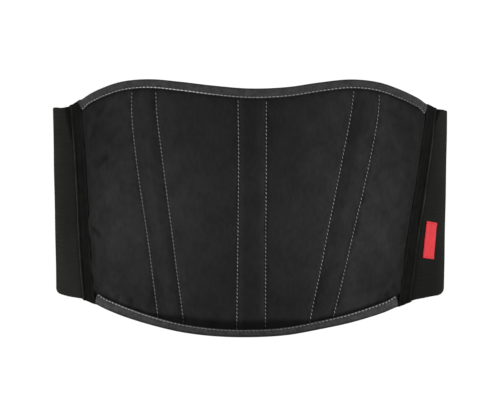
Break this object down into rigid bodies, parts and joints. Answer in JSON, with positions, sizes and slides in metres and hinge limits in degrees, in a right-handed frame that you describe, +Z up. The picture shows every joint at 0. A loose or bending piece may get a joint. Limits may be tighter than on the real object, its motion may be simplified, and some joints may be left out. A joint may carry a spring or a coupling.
{
  "type": "kidney belt",
  "caption": "Padded kidney belt with stitched stay channels, bound edges and elastic wings that close round the waist.",
  "frame": {"origin": "middle of the waist opening, half-way up the wings", "axes": "+Z up the wearer's body, +Y from the back panel towards the wearer's front, +X to the right seen from behind"},
  "size_m": [0.3693, 0.2328, 0.2249],
  "materials": {
    "shell": "matt black woven shell over padding",
    "binding": "dark grey twill tape",
    "tape": "black tape with a rolled edge",
    "elastic": "black ribbed elastic",
    "hook": "black hook tape",
    "label": "red woven label, bare"
  },
  "bodies": {
    "root": {"back_panel": "shell", "top_binding": "binding", "bottom_binding": "binding", "left_side_tape": "tape", "right_side_tape": "tape", "left_wing": "elastic", "right_wing": "elastic", "hook_pad": "hook", "label": "label"}
  },
  "joints": []
}
